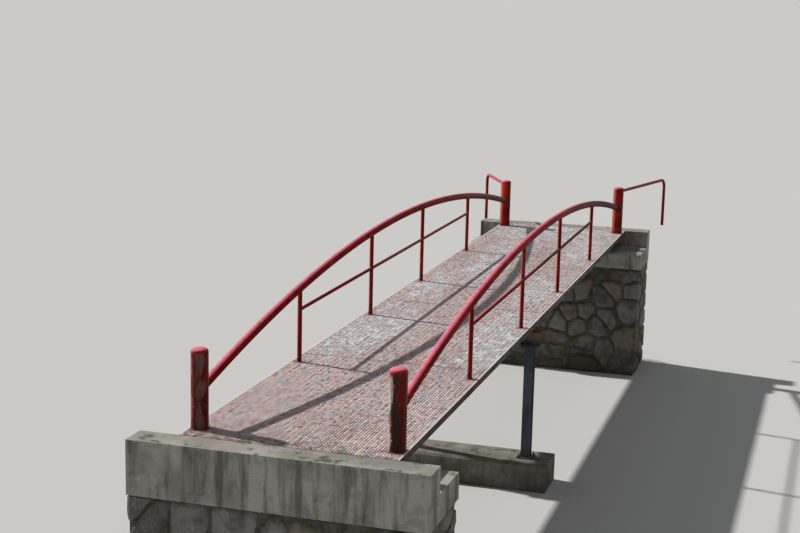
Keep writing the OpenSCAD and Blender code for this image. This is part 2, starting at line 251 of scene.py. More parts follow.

# The side that paint fades on, which is the side the key light falls on, so its chalky colour is partly
# real fading and partly a painted highlight; then the cosines between which it sets in, and that colour
FadeAndHighlight = namedtuple("FadeAndHighlight", "side low high faded")
FADE_AND_HIGHLIGHT_LYING = FadeAndHighlight((0.1, 0.65, 1.0), 0.08, 0.8, RED_FADED_HIGHLIGHT)
FADE_AND_HIGHLIGHT_NARROW = FadeAndHighlight((0.1, 0.65, 1.0), 0.4, 0.95, RED_FADED_HIGHLIGHT)
FADE_AND_HIGHLIGHT_STANDING = FadeAndHighlight((0.1, 1.0, 0.3), 0.05, 0.55, RED_FADED_HIGHLIGHT_WARM)


def turn_brown(s, patchy, dull):
    """Turns paint brown from the first place of dull to the second, with a paler painted highlight on top.
    """
    # The paler tone of the top is a painted highlight
    top = s.facing(BROWN_HIGHLIGHT_FACING, 0.66, 0.97)
    brown = s.mix(s.span(s.along("Y"), -0.1, 0.1), s.mix(top, *BROWN_RIGHT), s.mix(top, *BROWN_LEFT))
    s.lay(brown, s.both(s.span(s.along("X"), *dull), s.span(patchy, 0.3, 0.62, 0.9, 1.0)))


def lay_painted_shade_and_dark_underside(s, fade_and_highlight, shift):
    """Painted shade on the side away from the key light, and darker patches of primer colour, thickest
    underneath.
    """
    # Painted shade on the side away from the key light
    s.lay(RED_PAINTED_SHADE, s.facing([-n for n in fade_and_highlight.side], 0.1, 0.75), 0.75)
    under = s.either(s.facing(DOWN, 0.2, 0.9), 0.25)
    s.lay(PRIMER, s.both(under, s.patches(9, 0.45, 0.7, shift=shift + 9)), 0.75)


def lay_chips(s, chips, shift):
    """Chips, with undercoat round them. Returns where paint comes off, and the chips in it."""
    where = s.patches(4, 0.62 - 0.3 * chips, 0.85 - 0.3 * chips, detail=3, shift=shift + 7)
    flakes = s.noise(52, roughness=0.65, shift=shift + 5)
    chipped = s.both(s.span(flakes, 0.6, 0.63), where)
    rim = s.both(s.span(flakes, 0.565, 0.6), s.inverse(s.span(flakes, 0.6, 0.62)), where)
    s.lay(PALE_UNDERCOAT, rim, 0.55)
    s.lay(PRIMER, chipped)
    return where, chipped


def rust_mask(s, rust, where, shift):
    """Rust spots where paint comes off, and rust round the foot at the deck."""
    foot = s.fall(s.along("Z"), DECK_TOP, DECK_TOP + FOOT_RUST_HEIGHT)
    wet = s.both(foot, s.patches(30, 0.35, 0.6, detail=5, shift=shift + 2))
    low, high = 0.74 - 0.2 * rust, 0.8 - 0.2 * rust
    spots = s.patches(17, low, high, detail=7, roughness=0.7, shift=shift + 11)
    return s.either(s.both(wet, min(1.0, 0.4 + rust)), s.both(spots, where))


def red_paint(
    name, chalk_and_highlight=0.7, chips=0.3, rust=0.3, fresh=RED_FRESH, fade_and_highlight=FADE_AND_HIGHLIGHT_LYING, dull=None, shift=0
):
    """Old red gloss paint: chalky from fading, with a painted highlight, on the side towards the key light,
    painted shade on the side away from it, chipped, rusted and dirty at the foot.

    chalk, chips and rust are amounts from 0 to 1, chalk setting the painted highlight too, dull is where
    along X the paint turns brown, and shift moves the patterns.
    """
    s = Shade(name, specular=SPECULAR_DULL if dull else SPECULAR_RED)
    s.colour(s.mix(s.patches(2.6, 0.35, 0.65, detail=3, shift=shift), RED_DEEP, fresh))
    patchy = s.noise(14, detail=5, shift=shift + 3)
    sunny = s.facing(fade_and_highlight.side, fade_and_highlight.low, fade_and_highlight.high)
    faded = s.both(sunny, s.span(patchy, 0.3, 0.6, 0.75, 1.0))
    # Chalky paint on the side towards the key light: real fading and a painted highlight
    s.lay(fade_and_highlight.faded, faded, chalk_and_highlight)
    if dull:
        turn_brown(s, patchy, dull)
    lay_painted_shade_and_dark_underside(s, fade_and_highlight, shift)
    where, chipped = lay_chips(s, chips, shift)
    rusty = rust_mask(s, rust, where, shift)
    s.lay(RUST_DARK, rusty)
    s.gloss(s.either(faded, rusty, chipped), 0.34, 0.78)
    grain = s.both(s.noise(70, detail=3, shift=shift), 0.25)
    s.bump(s.math("ADD", grain, s.inverse(chipped)), 0.0009)
    return s


# Sides of the near posts that paint has peeled off: bare steel, and undercoat beside it
Peel = namedtuple("Peel", "steel_side undercoat_side undercoat amount")
PEELS = {
    "near_right_post": Peel((-1.0, 0.06, 0.0), (-0.6, 0.8, 0.0), PALE_UNDERCOAT, 0.95),
    "near_left_post": Peel((-1.0, 0.1, 0.0), (-0.83, -0.55, 0.0), PRIMER_PALE, 0.7),
}
TORN_EDGE = 0.03


def torn(s, direction, spread, **settings):
    """1 on the side of a post that faces the direction, with a torn edge."""
    turned = s.math("ADD", s.towards(direction), s.wobble(1.3, detail=7, roughness=0.66, **settings))
    return s.span(turned, 1.0 - spread, 1.0 - spread + TORN_EDGE)


def peel_off(s, peel):
    """Paint flaked off down one side of a post, with rust that ran down the undercoat."""
    steel = torn(s, peel.steel_side, 0.16, scale=13, z=0.6, shift=31)
    undercoat = torn(s, peel.undercoat_side, 0.13, scale=15, z=0.45, shift=27)
    flaked = s.patches(48, 0.37, 0.41, roughness=0.7, z=0.7, shift=21)
    runs = s.patches(42, 0.42, 0.66, detail=7, roughness=0.7, z=0.16, shift=37)
    s.lay(BARE_STEEL, steel, peel.amount)
    aged = s.mix(s.both(runs, 0.75), peel.undercoat, RUST_DARK)
    s.lay(aged, s.both(undercoat, flaked), peel.amount)


# Finish of the deck

DeckTones = namedtuple("DeckTones", "rose straw slate worn pale bright dark red")
PLATE_TONES = DeckTones(
    rose=(0.88, 0.64, 0.64),
    straw=(0.92, 0.77, 0.6),
    slate=(0.66, 0.65, 0.7),
    worn=(0.6, 0.41, 0.4),
    pale=(0.76, 0.74, 0.745),
    bright=(0.82, 0.85, 0.89),
    dark=(0.11, 0.085, 0.08),
    red=(0.3, 0.05, 0.045),
)
LENS_TONES = DeckTones(
    rose=(0.95, 0.78, 0.78),
    straw=(0.95, 0.86, 0.71),
    slate=(0.74, 0.73, 0.78),
    worn=(0.8, 0.61, 0.6),
    pale=(0.9, 0.88, 0.88),
    bright=(0.86, 0.885, 0.92),
    dark=(0.28, 0.22, 0.21),
    red=(0.5, 0.085, 0.075),
)
LENS_WORN = (0.24, 0.17, 0.16)
LANE_DARKENING = (0.046, 0.032, 0.03)
# Pale tone of the painted highlight along the plate's edges
DECK_EDGE_HIGHLIGHT = (0.88, 0.82, 0.79)
DECK_STEEL = (0.04, 0.035, 0.032)

# Pale weathered areas of the deck: ovals, and the parts of their size between which they fade
Patch = namedtuple("Patch", "x y half_length half_width")
PALE_PATCHES = [
    Patch(-1.35, 0.56, 1.3, 0.36),
    Patch(-1.45, -0.68, 1.3, 0.3),
    Patch(0.95, 0.62, 0.8, 0.24),
    Patch(1.15, -0.58, 0.95, 0.22),
    Patch(3.6, 0.35, 0.65, 0.32),
    Patch(3.95, -0.66, 1.0, 0.24),
    Patch(5.1, -0.1, 0.8, 1.0),
    Patch(2.3, 0.3, 1.1, 0.28),
]
PATCH_CORE = 0.55
PATCH_RIM = 1.25
SPLASH_LENGTH = 0.055
SPLASH_WIDTH = 0.045
MOSS_REACH = 0.3

# Distances from a seam between which its dirt thins out, and from the edge where the painted highlight
# along it sets in
SEAM_DIRT = (0.005, 0.035)
EDGE_HIGHLIGHT_BAND = (0.016, 0.008)


def within(s, patch, wobble):
    """1 inside an oval patch of the deck, with an edge that wobbles."""
    shifted = s.vector("SUBTRACT", s.place, (patch.x, patch.y, DECK_TOP))
    shrunk = s.vector("MULTIPLY", shifted, (1 / patch.half_length, 1 / patch.half_width, 0.0))
    return s.fall(s.math("ADD", s.vector("LENGTH", shrunk), wobble), PATCH_CORE, PATCH_RIM)


def lay_thin_paint(s, tones):
    """Thin paint over steel, in mixed tones."""
    s.colour(s.mix(s.patches(1.3, 0.42, 0.68, roughness=0.62, x=0.55), tones.rose, tones.worn))
    s.lay(tones.slate, s.patches(7, 0.47, 0.6, detail=7, roughness=0.68, x=0.6, shift=41), 0.8)
    s.lay(tones.straw, s.patches(16, 0.53, 0.63, roughness=0.68, x=0.7, shift=47), 0.75)


def lay_weathering(s, grain, tones):
    """Pale areas, silt, dark spots, streaks and rust stains. Returns the mask of the silt."""
    wobble = s.wobble(3.6, 5.5, detail=8, roughness=0.68, x=0.5)
    bleached = s.either(*[within(s, patch, wobble) for patch in PALE_PATCHES])
    s.lay(tones.pale, s.both(bleached, s.span(grain, 0.38, 0.58, 0.45, 1.0)))
    blotches = s.patches(13, 0.49, 0.57, detail=7, roughness=0.72, x=0.7, shift=23)
    silted = s.both(blotches, s.span(bleached, 0.0, 1.0, 0.12, 1.0))
    s.lay(tones.bright, silted)
    spots = s.patches(24, 0.53, 0.565, detail=8, roughness=0.75, x=0.6, shift=29)
    s.lay(tones.dark, s.both(spots, s.span(bleached, 0.0, 1.0, 0.85, 0.65)))
    s.lay(tones.pale, s.patches(24, 0.46, 0.66, roughness=0.66, x=0.1, shift=17), 0.35)
    s.lay(RUST, s.patches(9, 0.56, 0.68, detail=7, roughness=0.7, x=0.6, shift=13), 0.4)
    return silted


def lay_splashes(s, red):
    """Red paint spilt round each foot."""
    wobble = s.wobble(2.4, 21, roughness=0.7)
    splashes = []
    for foot in standing_tubes():
        patch = Patch(foot.centre.x, foot.centre.y, foot.radius + SPLASH_LENGTH, foot.radius + SPLASH_WIDTH)
        splashes.append(within(s, patch, wobble))
    s.lay(red, s.either(*splashes), 0.55)


def lay_moss(s):
    """Moss along the near end of the deck."""
    near = s.fall(s.along("X"), PLATE_LOW.x, PLATE_LOW.x + MOSS_REACH)
    s.lay(MOSS, s.both(near, s.patches(14, 0.44, 0.6, roughness=0.65)), 0.8)


def lay_deck_colour(s, tones):
    """Colour of the deck's top. Returns its grain and the mask of its silt."""
    grain = s.noise(34, detail=7, roughness=0.7, x=0.45)
    lay_thin_paint(s, tones)
    silted = lay_weathering(s, grain, tones)
    lay_splashes(s, tones.red)
    lay_moss(s)
    return grain, silted


def lane_mask(s, silted):
    """Uneven darkening in the lanes between the rows of lenses, thinner where there is silt."""
    across = s.math("SUBTRACT", s.along("Y"), first_row(PLATE_LOW, PLATE_HIGH))
    return s.both(
        s.span(s.math("PINGPONG", across, ROW_PITCH / 2), 0.14 * ROW_PITCH, 0.46 * ROW_PITCH),
        s.patches(30, 0.34, 0.58, least=0.62, roughness=0.66, shift=4),
        s.patches(4, 0.4, 0.6, least=0.84, detail=5, roughness=0.62, shift=54),
        s.span(silted, 0.0, 1.0, 1.0, 0.24),
    )


def seam_mask(s):
    """Both sides of the joints between the deck plates."""
    masks = []
    for x in seam_places():
        distance = s.math("ABSOLUTE", s.math("SUBTRACT", s.along("X"), x))
        masks.append(s.fall(distance, *SEAM_DIRT))
    return s.either(*masks)


def deck_plate_material():
    """Painted steel plate, darker in the lanes between its lenses, with a painted highlight along its long
    edges and a rusted underside.
    """
    s = Shade("deck_plate", 0.72, 0.06)
    grain, silted = lay_deck_colour(s, PLATE_TONES)
    # Darker lanes between the rows of lenses
    s.lay(LANE_DARKENING, lane_mask(s, silted))
    s.lay(DIRT, s.patches(70, 0.5, 0.66, detail=5, roughness=0.65, shift=14), 0.4)
    s.lay(DIRT, seam_mask(s), 0.35)
    # A painted highlight along both long edges of the plate
    low, high = ((PLATE_HIGH.y - PLATE_LOW.y) / 2 - inset for inset in EDGE_HIGHLIGHT_BAND)
    s.lay(DECK_EDGE_HIGHLIGHT, s.span(s.math("ABSOLUTE", s.along("Y")), low, high), 0.8)
    rusted = s.patches(5, 0.42, 0.6, roughness=0.66, shift=33)
    steel = s.mix(s.noise(26, detail=5), s.mix(rusted, DECK_STEEL, RUST), RUST_DARK)
    s.lay(steel, s.facing(DOWN, 0.3, 0.7))
    s.gloss(grain, 0.62, 0.88, low=0.3, high=0.7)
    s.bump(s.noise(160, detail=5), 0.0007)
    return s.material


def deck_lens_material():
    """The lenses, some worn dark, and darker towards their feet."""
    s = Shade("deck_lens", 0.5, 0.45)
    grain, _ = lay_deck_colour(s, LENS_TONES)
    s.lay(LENS_WORN, s.span(s.attribute(TONE), 0.0, 0.8, 0.8, 0.0))
    # Darker towards the foot of each lens
    s.lay(DIRT, s.fall(s.along("Z"), DECK_TOP + LENS_FOOT, DECK_TOP + LENS_HEIGHT), 0.55)
    s.lay(RUST, s.patches(55, 0.5, 0.66, detail=5, roughness=0.6, shift=8), 0.35)
    s.gloss(grain, 0.34, 0.6, low=0.3, high=0.7)
    s.bump(s.noise(220, detail=4), 0.0004)
    return s.material


# Finish of the steelwork under the deck

# Kept very dark, partly as painted shade under the deck
GIRDER_BLACK_AND_SHADE = (0.026, 0.025, 0.024)
GIRDER_GREY = (0.058, 0.05, 0.044)
GIRDER_RUNS = (0.095, 0.08, 0.065)
PIER_BLUE = (0.05, 0.06, 0.082)
PIER_BLUE_PALE = (0.085, 0.098, 0.125)
PIER_SCUFF = (0.26, 0.27, 0.3)
PIER_SILT = (0.115, 0.1, 0.07)
BEAM_OCHRE = (0.33, 0.19, 0.065)
BEAM_BROWN = (0.2, 0.105, 0.045)
BEAM_BLUE = (0.085, 0.105, 0.11)
BEAM_GREY = (0.15, 0.15, 0.14)
RUST_BRIGHT = (0.3, 0.13, 0.045)

# Heights between which silt from the bed thins out
PIER_SILT_TOP = (0.3, 0.62)


def girder_material():
    """Old black paint, kept very dark to paint the shade under the deck as well, rusted in large patches,
    with runs down its faces.
    """
    s = Shade("girder_paint", 0.7)
    s.colour(s.mix(s.patches(3, 0.4, 0.62, detail=5, x=0.5), GIRDER_BLACK_AND_SHADE, GIRDER_GREY))
    rusted = s.patches(8, 0.5, 0.62, detail=7, roughness=0.7, x=0.6, shift=2)
    s.lay(s.mix(s.noise(40, detail=5), RUST, RUST_DARK), rusted, 0.85)
    s.lay(GIRDER_RUNS, s.patches(24, 0.52, 0.68, detail=5, roughness=0.6, z=0.08, shift=6), 0.5)
    s.gloss(rusted, 0.55, 0.9)
    s.bump(s.math("ADD", rusted, s.noise(90, detail=4)), 0.0008)
    return s.material


def pier_paint_material():
    """Blue paint, rusted in spots, scuffed on the side towards the near end, silty at the bed."""
    s = Shade("pier_paint", 0.6)
    s.colour(s.mix(s.patches(4, 0.4, 0.6, detail=4), PIER_BLUE, PIER_BLUE_PALE))
    rusted = s.patches(30, 0.6, 0.65, detail=7, roughness=0.68, shift=5)
    s.lay(RUST, rusted)
    scuffs = s.patches(19, 0.6, 0.72, roughness=0.7, shift=9)
    s.lay(PIER_SCUFF, s.both(s.facing((-1, 0, 0), 0.8, 0.95), scuffs), 0.6)
    low = s.fall(s.along("Z"), *PIER_SILT_TOP)
    s.lay(PIER_SILT, s.both(low, s.patches(14, 0.35, 0.6, detail=5)), 0.85)
    s.gloss(rusted, 0.42, 0.9)
    s.bump(s.inverse(rusted), 0.0008)
    return s.material


def cap_beam_material():
    """The pier's beam: ochre rust above, grey blue paint below."""
    s = Shade("cap_beam_paint", 0.75)
    low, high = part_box("pier_cap_beam")
    height = high.z - low.z
    s.colour(s.mix(s.noise(16, detail=5), BEAM_BLUE, BEAM_GREY))
    upper = s.span(s.along("Z"), low.z + 0.35 * height, low.z + 0.62 * height)
    uneven = s.either(s.patches(11, 0.35, 0.62, roughness=0.65), 0.55)
    s.lay(s.mix(s.noise(28, detail=5), BEAM_OCHRE, BEAM_BROWN), s.both(upper, uneven))
    s.lay(RUST_DARK, s.patches(6, 0.55, 0.68, roughness=0.7, shift=4), 0.8)
    s.bump(s.noise(60, roughness=0.65), 0.0012)
    return s.material


def rusted_steel_material():
    """Bare rusted steel of the bearing plates and bolts."""
    s = Shade("bearing_steel", 0.85)
    s.colour(s.mix(s.patches(35, 0.35, 0.65, roughness=0.65), RUST_DARK, RUST))
    s.lay(RUST_BRIGHT, s.patches(60, 0.58, 0.66, detail=5, shift=3), 0.6)
    s.bump(s.noise(120, detail=5), 0.0008)
    return s.material


# Finish of the abutments and the footing

CONCRETE_DARK = (0.27, 0.26, 0.235)
CONCRETE_PALE = (0.44, 0.43, 0.395)
CONCRETE_SAND = (0.2, 0.185, 0.16)
CONCRETE_RUNS = (0.085, 0.078, 0.065)
CONCRETE_SILT = (0.09, 0.08, 0.055)
STONE_DARK = (0.085, 0.083, 0.078)
STONE_PALE = (0.255, 0.245, 0.225)
STONE_WARM = (0.215, 0.14, 0.08)
STONE_CRYSTALS = (0.34, 0.33, 0.31)
STONE_STAIN = (0.05, 0.046, 0.04)
STONE_SILT = (0.062, 0.058, 0.04)
LICHEN = (0.36, 0.37, 0.32)
MORTAR_DARK = (0.06, 0.055, 0.046)
MORTAR_PALE = (0.13, 0.122, 0.105)
MORTAR_MOSS = (0.06, 0.075, 0.026)

CONCRETE_SILT_TOP = (0.1, 0.55)
STONE_SILT_TOP = (0.12, 0.5)

# Marks that the boards of the formwork left in the concrete
BOARD_HEIGHT = 0.11
BOARD_GROOVE = 0.004


def concrete_relief(s, up):
    """Height of the concrete: rough, with pores and board marks, and even on top."""
    pores = s.both(s.span(s.speckle(70), 0.1, 0.22), 0.5)
    rough = s.both(s.noise(45, roughness=0.65), 0.8)
    boards = s.span(s.math("PINGPONG", s.along("Z"), BOARD_HEIGHT / 2), 0.0, BOARD_GROOVE)
    return s.math("ADD", s.math("ADD", rough, pores), s.both(s.either(boards, up), 0.7))


def concrete_material():
    """Weathered concrete: runs of dirt down its faces, moss on top, silt at the bed."""
    s = Shade("concrete", 0.88)
    s.colour(s.mix(s.patches(2.2, 0.36, 0.62, detail=5, roughness=0.6), CONCRETE_DARK, CONCRETE_PALE))
    s.lay(CONCRETE_SAND, s.patches(150, 0.4, 0.6, detail=3), 0.35)
    up = s.facing(UP, 0.5, 0.9)
    runs = s.patches(9, 0.45, 0.66, roughness=0.62, z=0.12, shift=3)
    s.lay(CONCRETE_RUNS, s.both(s.inverse(up), runs), 0.75)
    mossy = s.patches(6.5, 0.53, 0.62, detail=7, roughness=0.68, shift=8)
    s.lay(MOSS, s.both(s.either(up, 0.35), mossy), 0.85)
    silty = s.span(s.noise(5, detail=5, shift=1), 0.3, 0.6, 0.5, 0.9)
    s.lay(CONCRETE_SILT, s.both(s.fall(s.along("Z"), *CONCRETE_SILT_TOP), silty))
    s.bump(concrete_relief(s, up), 0.0022)
    return s.material


def stone_material():
    """Rubble stone, grey or warm from stone to stone, with lichen, moss on top and silt at the bed."""
    s = Shade("rubble_stone", 0.9)
    tone = s.attribute(TONE)
    s.colour(s.mix(tone, STONE_DARK, STONE_PALE))
    s.lay(STONE_WARM, s.span(s.math("PINGPONG", s.both(tone, 7.0), 0.5), 0.32, 0.46), 0.6)
    s.lay(STONE_CRYSTALS, s.patches(130, 0.4, 0.62, detail=4, roughness=0.6), 0.4)
    s.lay(STONE_STAIN, s.patches(7, 0.42, 0.66, roughness=0.65), 0.65)
    lichen = s.patches(20, 0.6, 0.64, roughness=0.7, shift=5)
    s.lay(LICHEN, s.both(lichen, s.patches(2, 0.45, 0.6, detail=3, shift=2)), 0.7)
    mossy = s.patches(9, 0.42, 0.58, shift=9)
    s.lay(MOSS, s.both(s.facing(UP, 0.15, 0.75), mossy), 0.85)
    silty = s.span(s.noise(6, detail=5), 0.3, 0.6, 0.4, 0.85)
    s.lay(STONE_SILT, s.both(s.fall(s.along("Z"), *STONE_SILT_TOP), silty))
    fine = s.both(s.noise(90, detail=5), 0.4)
    s.bump(s.math("ADD", s.noise(28, detail=8, roughness=0.68), fine), 0.01)
    return s.material


def mortar_material():
    s = Shade("mortar", 0.95)
    s.colour(s.mix(s.patches(12, 0.35, 0.65, roughness=0.65), MORTAR_DARK, MORTAR_PALE))
    s.lay(MORTAR_MOSS, s.patches(6, 0.52, 0.64, shift=4), 0.7)
    s.bump(s.noise(60, roughness=0.65), 0.006)
    return s.material


# Meshes


def new_object(name, data):
    thing = bpy.data.objects.new(name, data)
    bpy.context.scene.collection.objects.link(thing)
    return thing


def append_part(points, faces, more, more_faces):
    """Adds one more part to the points and faces of a mesh."""
    start = len(points)
    points.extend(more)
    faces.extend([tuple(start + i for i in face) for face in more_faces])


def add_mesh(name, points, faces, material, smooth=True, tones=None):
    """A piece of the bridge from points and faces, riding on the one body."""
    mesh = bpy.data.meshes.new(name)
    mesh.from_pydata([tuple(p) for p in points], [], faces)
    mesh.polygons.foreach_set("use_smooth", [smooth] * len(mesh.polygons))
    if tones is not None:
        layer = mesh.attributes.new(TONE, "FLOAT", "POINT")
        layer.data.foreach_set("value", tones)
    mesh.materials.append(material)
    piece = new_object(name, mesh)
    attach(piece, "root")
    return piece


# Raised lenses of the deck plates

LENS_LENGTH = 0.036
LENS_WIDTH = 0.0125
LENS_HEIGHT = 0.0019
LENS_FOOT = 0.0002
LENS_SLANT = math.pi / 4
LENS_SIZES = (0.85, 1.05)
LENS_PITCH = 0.049
ROW_PITCH = 0.0245
PLATE_MARGIN = 0.009

# One half of a lens's outline in its lengths and widths, and the size of its top in its foot's
LENS_OUTLINE = [(-0.5, 0.0), (-0.3, 0.33), (0.0, 0.5), (0.3, 0.33)]
LENS_TOP = (0.72, 0.5)


def seam_places():
    """Middle of each joint between two deck plates."""
    ends = [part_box(node) for node in DECK_PLATES]
    return [(a[1].x + b[0].x) / 2 for a, b in zip(ends, ends[1:])]


def lens_shape():
    """Points and faces of one lens along X: a pointed oval with sloping sides."""
    outline = LENS_OUTLINE + [(-x, -y) for x, y in LENS_OUTLINE]
    foot = [(x * LENS_LENGTH, y * LENS_WIDTH, 0.0) for x, y in outline]
    top = [(x * LENS_TOP[0], y * LENS_TOP[1], LENS_HEIGHT) for x, y, _ in foot]
    count = len(outline)
    faces = [(i, i + count, (i + 1) % count + count, (i + 1) % count) for i in range(count)]
    faces.append(tuple(range(2 * count - 1, count - 1, -1)))
    return np.array(foot + top), faces


def row_count(low, high):
    return int((high.y - low.y - 2 * PLATE_MARGIN) / ROW_PITCH)


def first_row(low, high):
    return (low.y + high.y) / 2 - (row_count(low, high) - 1) / 2 * ROW_PITCH


def lens_places(low, high, feet):
    """Centre, turn and size of each lens on one plate, in rows that alternate in slant."""
    rng = random.Random(SEED)
    reach = LENS_LENGTH * math.sqrt(0.5) / 2
    places = []
    for row in range(row_count(low, high)):
        y = first_row(low, high) + row * ROW_PITCH
        x = low.x + PLATE_MARGIN + reach + (row % 2) * LENS_PITCH / 2
        turn = LENS_SLANT if row % 2 else -LENS_SLANT
        while x < high.x - PLATE_MARGIN - reach:
            distances = [math.hypot(x - foot.centre.x, y - foot.centre.y) for foot in feet]
            if all(distance > foot.radius + reach for distance, foot in zip(distances, feet)):
                places.append((x, y, turn, rng.uniform(*LENS_SIZES)))
            x += LENS_PITCH
    return places


def add_lenses(material):
    base, base_faces = lens_shape()
    feet = standing_tubes()
    rng = random.Random(SEED)
    for node in DECK_PLATES:
        low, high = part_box(node)
        points, faces, tones = [], [], []
        for x, y, turn, size in lens_places(low, high, feet):
            c, s = math.cos(turn), math.sin(turn)
            turned = np.column_stack([
                x + size * (base[:, 0] * c - base[:, 1] * s),
                y + size * (base[:, 0] * s + base[:, 1] * c),
                DECK_TOP + base[:, 2],
            ])
            append_part(points, faces, turned, base_faces)
            tones.extend([rng.random()] * len(base))
        add_mesh(f"{node}_lenses", points, faces, material, smooth=False, tones=tones)


def circle(steps):
    """Angles of equal steps once round."""
    return [2 * math.pi * i / steps for i in range(steps)]


# Weld beads

BEAD = 0.0042
BALUSTER_FOOT_BEAD = BEAD * 1.1
MID_RAIL_BEAD = BEAD * 0.85
RAIL_END_BEAD = BEAD * 1.2
POST_FOOT_BEAD = BEAD * 1.4
CAP_BEAD = 0.0026
CAP_BEAD_DEPTH = 0.0012
BEAD_STEPS = 56
BEAD_SIDES = 7

# Lumps of a bead: how many a metre, the least size of the bead and how much they add
LUMPS = 160.0
LUMP_BASE = 0.85
LUMP_GAIN = 0.35

# How far from its joint a lying tube is taken, to follow it to the joint from there
APPROACH = 0.5
RAIL_APPROACH = 0.3

# Radius of a top rail's bend, and how far its crown lies past the middle between its posts
RAIL_BEND = 24.589
CROWN_SHIFT = 0.0917
WING_RADIUS = 0.02135


def tube_on_tube(tube, target, sign):
    """Closed path where a tube, followed along sign times its axis, first meets another tube."""
    axis = tube.axis.normalized() * sign
    u = axis.orthogonal().normalized()
    v = axis.cross(u)
    path = []
    for angle in circle(BEAD_STEPS):
        start = tube.centre + tube.radius * (math.cos(angle) * u + math.sin(angle) * v)
        gap = start - target.centre
        across = gap - gap.dot(target.axis) * target.axis
        step = axis - axis.dot(target.axis) * target.axis
        a = step.dot(step)
        b = across.dot(step)
        c = across.dot(across) - target.radius ** 2
        path.append(start + axis * ((-b - math.sqrt(max(b * b - a * c, 0.0))) / a))
    return path


def ring(tube, z):
    """Closed path round a vertical tube at height z."""
    return [
        Vector((tube.centre.x + tube.radius * math.cos(a), tube.centre.y + tube.radius * math.sin(a), z))
        for a in circle(BEAD_STEPS)
    ]


def bead_mesh(path, size):
    """A lumpy bead along a closed path."""
    points, faces = [], []
    count = len(path)
    centre = sum(path, Vector()) / count
    for i, here in enumerate(path):
        along = (path[(i + 1) % count] - path[i - 1]).normalized()
        out = here - centre
        out = (out - out.dot(along) * along).normalized()
        side = along.cross(out)
        lump = size * (LUMP_BASE + LUMP_GAIN * noise.noise(here * LUMPS))
        for k, angle in enumerate(circle(BEAD_SIDES)):
            points.append(here + lump * (math.cos(angle) * out + math.sin(angle) * side))
            a, b = i * BEAD_SIDES, ((i + 1) % count) * BEAD_SIDES
            n = (k + 1) % BEAD_SIDES
            faces.append((a + k, b + k, b + n, a + n))
    return points, faces


def add_beads(name, loops, material):
    """One piece with the beads of all its loops, each of them a path and a size."""
    points, faces = [], []
    for path, size in loops:
        append_part(points, faces, *bead_mesh(path, size))
    add_mesh(name, points, faces, material)


def rail_tangent(side, x):
    """The top rail as a straight tube at x."""
    low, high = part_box(f"top_rail_{side}")
    radius = (high.y - low.y) / 2
    near, far = (upright(f"{end}_{side}_post") for end in ENDS)
    crown_x = (near.centre.x + far.centre.x) / 2 + CROWN_SHIFT
    fall = RAIL_BEND - math.sqrt(RAIL_BEND ** 2 - (x - crown_x) ** 2)
    slope = (x - crown_x) / RAIL_BEND
    place = Vector((x, (low.y + high.y) / 2, high.z - radius - fall))
    return Tube(place, Vector((math.sqrt(1 - slope ** 2), 0, -slope)), radius)


def mid_rail_tube(side):
    """The lower rail as one straight tube."""
    low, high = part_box(f"mid_rail_{side}")
    return Tube((low + high) / 2, Vector((1, 0, 0)), (high.z - low.z) / 2)


def wing_tube(side):
    """The straight reach of a wing rail, from its post's axis."""
    low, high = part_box(f"wing_rail_{side}")
    post = upright(f"far_{side}_post")
    leg_y = high.y - WING_RADIUS if side == "left" else low.y + WING_RADIUS
    reach = Vector((high.x - WING_RADIUS - post.centre.x, leg_y - post.centre.y, 0))
    start = Vector((post.centre.x, post.centre.y, high.z - WING_RADIUS))
    return Tube(start, reach.normalized(), WING_RADIUS)


def baluster_loops(side):
    """Beads of the balusters at the top rail, on the deck and at the lower rail."""
    mid = mid_rail_tube(side)
    loops = []
    for number in range(1, BALUSTER_COUNT + 1):
        post = upright(f"baluster_{side}_{number}")
        loops.append((tube_on_tube(post, rail_tangent(side, post.centre.x), 1), BEAD))
        loops.append((ring(post, DECK_TOP), BALUSTER_FOOT_BEAD))
        for sign in (-1, 1):
            if 1 <= number + sign <= BALUSTER_COUNT:
                start = Vector((post.centre.x + sign * APPROACH, mid.centre.y, mid.centre.z))
                meeting = tube_on_tube(Tube(start, mid.axis, mid.radius), post, -sign)
                loops.append((meeting, MID_RAIL_BEAD))
    return loops


def rail_end_loops(side):
    """Beads of a top rail at its posts."""
    loops = []
    for end, sign in ENDS.items():
        post = upright(f"{end}_{side}_post")
        rail = rail_tangent(side, post.centre.x - sign * RAIL_APPROACH)
        loops.append((tube_on_tube(rail, post, sign), RAIL_END_BEAD))
    return loops


def wing_loops(side):
    """The bead of a wing rail at its post."""
    wing = wing_tube(side)
    start = Tube(wing.centre + wing.axis * APPROACH, wing.axis, wing.radius)
    return [(tube_on_tube(start, upright(f"far_{side}_post"), -1), BEAD)]


def add_welds(paints):
    for side in SIDES:
        loops = baluster_loops(side) + rail_end_loops(side)
        add_beads(f"rail_welds_{side}", loops, paints["rail"])
        add_beads(f"wing_weld_{side}", wing_loops(side), paints["wing"])
    for node in POSTS:
        post = upright(node)
        foot_loops = [(ring(post, DECK_TOP), POST_FOOT_BEAD)]
        add_beads(f"{node}_foot_weld", foot_loops, paints[node])
        sunk = Tube(post.centre, post.axis, post.radius - CAP_BEAD_DEPTH)
        cap_loops = [(ring(sunk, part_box(node)[1].z), CAP_BEAD)]
        add_beads(f"{node}_cap_weld", cap_loops, paints["cap"])


# Bolts

NUT_ACROSS = 0.024
NUT_HEIGHT = 0.013
NUT_CHAMFER = 0.0014
STUD_RADIUS = 0.008
STUD_ABOVE = 0.01
STUD_CHAMFER = 0.0012
WASHER_RADIUS = 0.017
WASHER_HEIGHT = 0.003
WASHER_CHAMFER = 0.0006

